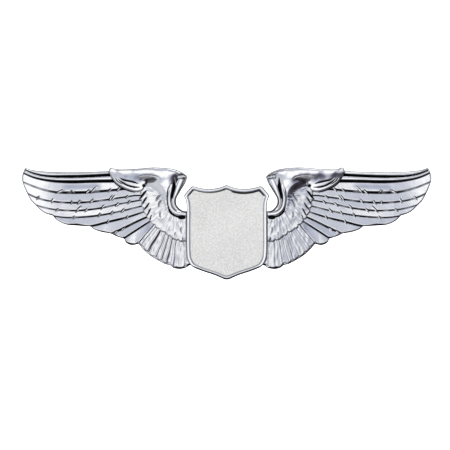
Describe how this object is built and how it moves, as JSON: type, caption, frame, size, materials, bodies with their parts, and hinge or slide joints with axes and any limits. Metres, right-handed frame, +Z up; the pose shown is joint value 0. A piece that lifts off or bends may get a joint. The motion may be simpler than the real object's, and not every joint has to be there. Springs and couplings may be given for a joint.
{
  "type": "pilot wings pin",
  "caption": "Struck metal pair of spread feathered wings with a blank shield in the middle, pinned to cloth by posts and squeeze clutches.",
  "frame": {"origin": "middle of the span, on the back rim's plane that lies on the cloth, at the height of the shield's middle", "axes": "+X to the right as seen from the front, along the span; +Y backwards, into the cloth; +Z up"},
  "size_m": [0.0762, 0.0116, 0.0211],
  "materials": {
    "struck_metal": "mirror-bright plating on struck metal",
    "satin_metal": "fine pearl satin",
    "plated_steel": "bright nickel plating on steel",
    "spring_steel": "bare spring strip"
  },
  "bodies": {
    "badge": {"wing_plate": "struck_metal", "shield_frame": "struck_metal", "shield_insert": "satin_metal", "post_left": "plated_steel", "post_centre": "plated_steel", "post_right": "plated_steel"},
    "left_clutch": {"left_clutch_base_disc": "plated_steel", "left_clutch_cage": "plated_steel", "left_clutch_bow_spring": "spring_steel"},
    "left_clutch_right_ear": {"left_clutch_right_ear": "plated_steel"},
    "left_clutch_left_ear": {"left_clutch_left_ear": "plated_steel"},
    "centre_clutch": {"centre_clutch_base_disc": "plated_steel", "centre_clutch_cage": "plated_steel", "centre_clutch_bow_spring": "spring_steel"},
    "centre_clutch_right_ear": {"centre_clutch_right_ear": "plated_steel"},
    "centre_clutch_left_ear": {"centre_clutch_left_ear": "plated_steel"},
    "right_clutch": {"right_clutch_base_disc": "plated_steel", "right_clutch_cage": "plated_steel", "right_clutch_bow_spring": "spring_steel"},
    "right_clutch_right_ear": {"right_clutch_right_ear": "plated_steel"},
    "right_clutch_left_ear": {"right_clutch_left_ear": "plated_steel"}
  },
  "joints": [
    {"name": "left_clutch_slide", "type": "slide", "parent": "badge", "child": "left_clutch", "axis": [0, 1, 0], "range_m": [-0.002, 0.0085]},
    {"name": "left_clutch_right_ear_hinge", "type": "hinge", "parent": "left_clutch", "child": "left_clutch_right_ear", "pos_m": [-0.02, 0.00395, 0.0043], "axis": [0, 0, 1], "range_deg": [0, 12], "stiffness_Nm_per_rad": 0.002, "deforming": ["left_clutch_bow_spring"]},
    {"name": "left_clutch_left_ear_hinge", "type": "hinge", "parent": "left_clutch", "child": "left_clutch_left_ear", "pos_m": [-0.024, 0.00395, 0.0043], "axis": [0, 0, -1], "range_deg": [0, 12], "stiffness_Nm_per_rad": 0.002, "deforming": ["left_clutch_bow_spring"]},
    {"name": "centre_clutch_slide", "type": "slide", "parent": "badge", "child": "centre_clutch", "axis": [0, 1, 0], "range_m": [-0.002, 0.0085]},
    {"name": "centre_clutch_right_ear_hinge", "type": "hinge", "parent": "centre_clutch", "child": "centre_clutch_right_ear", "pos_m": [0.002, 0.00395, -0.0024], "axis": [0, 0, 1], "range_deg": [0, 12], "stiffness_Nm_per_rad": 0.002, "deforming": ["centre_clutch_bow_spring"]},
    {"name": "centre_clutch_left_ear_hinge", "type": "hinge", "parent": "centre_clutch", "child": "centre_clutch_left_ear", "pos_m": [-0.002, 0.00395, -0.0024], "axis": [0, 0, -1], "range_deg": [0, 12], "stiffness_Nm_per_rad": 0.002, "deforming": ["centre_clutch_bow_spring"]},
    {"name": "right_clutch_slide", "type": "slide", "parent": "badge", "child": "right_clutch", "axis": [0, 1, 0], "range_m": [-0.002, 0.0085]},
    {"name": "right_clutch_right_ear_hinge", "type": "hinge", "parent": "right_clutch", "child": "right_clutch_right_ear", "pos_m": [0.024, 0.00395, 0.0043], "axis": [0, 0, 1], "range_deg": [0, 12], "stiffness_Nm_per_rad": 0.002, "deforming": ["right_clutch_bow_spring"]},
    {"name": "right_clutch_left_ear_hinge", "type": "hinge", "parent": "right_clutch", "child": "right_clutch_left_ear", "pos_m": [0.02, 0.00395, 0.0043], "axis": [0, 0, -1], "range_deg": [0, 12], "stiffness_Nm_per_rad": 0.002, "deforming": ["right_clutch_bow_spring"]}
  ],
  "couplings": [
    {"joint": "left_clutch_left_ear_hinge", "follows": "left_clutch_right_ear_hinge", "ratio": 1},
    {"joint": "centre_clutch_left_ear_hinge", "follows": "centre_clutch_right_ear_hinge", "ratio": 1},
    {"joint": "right_clutch_left_ear_hinge", "follows": "right_clutch_right_ear_hinge", "ratio": 1}
  ]
}
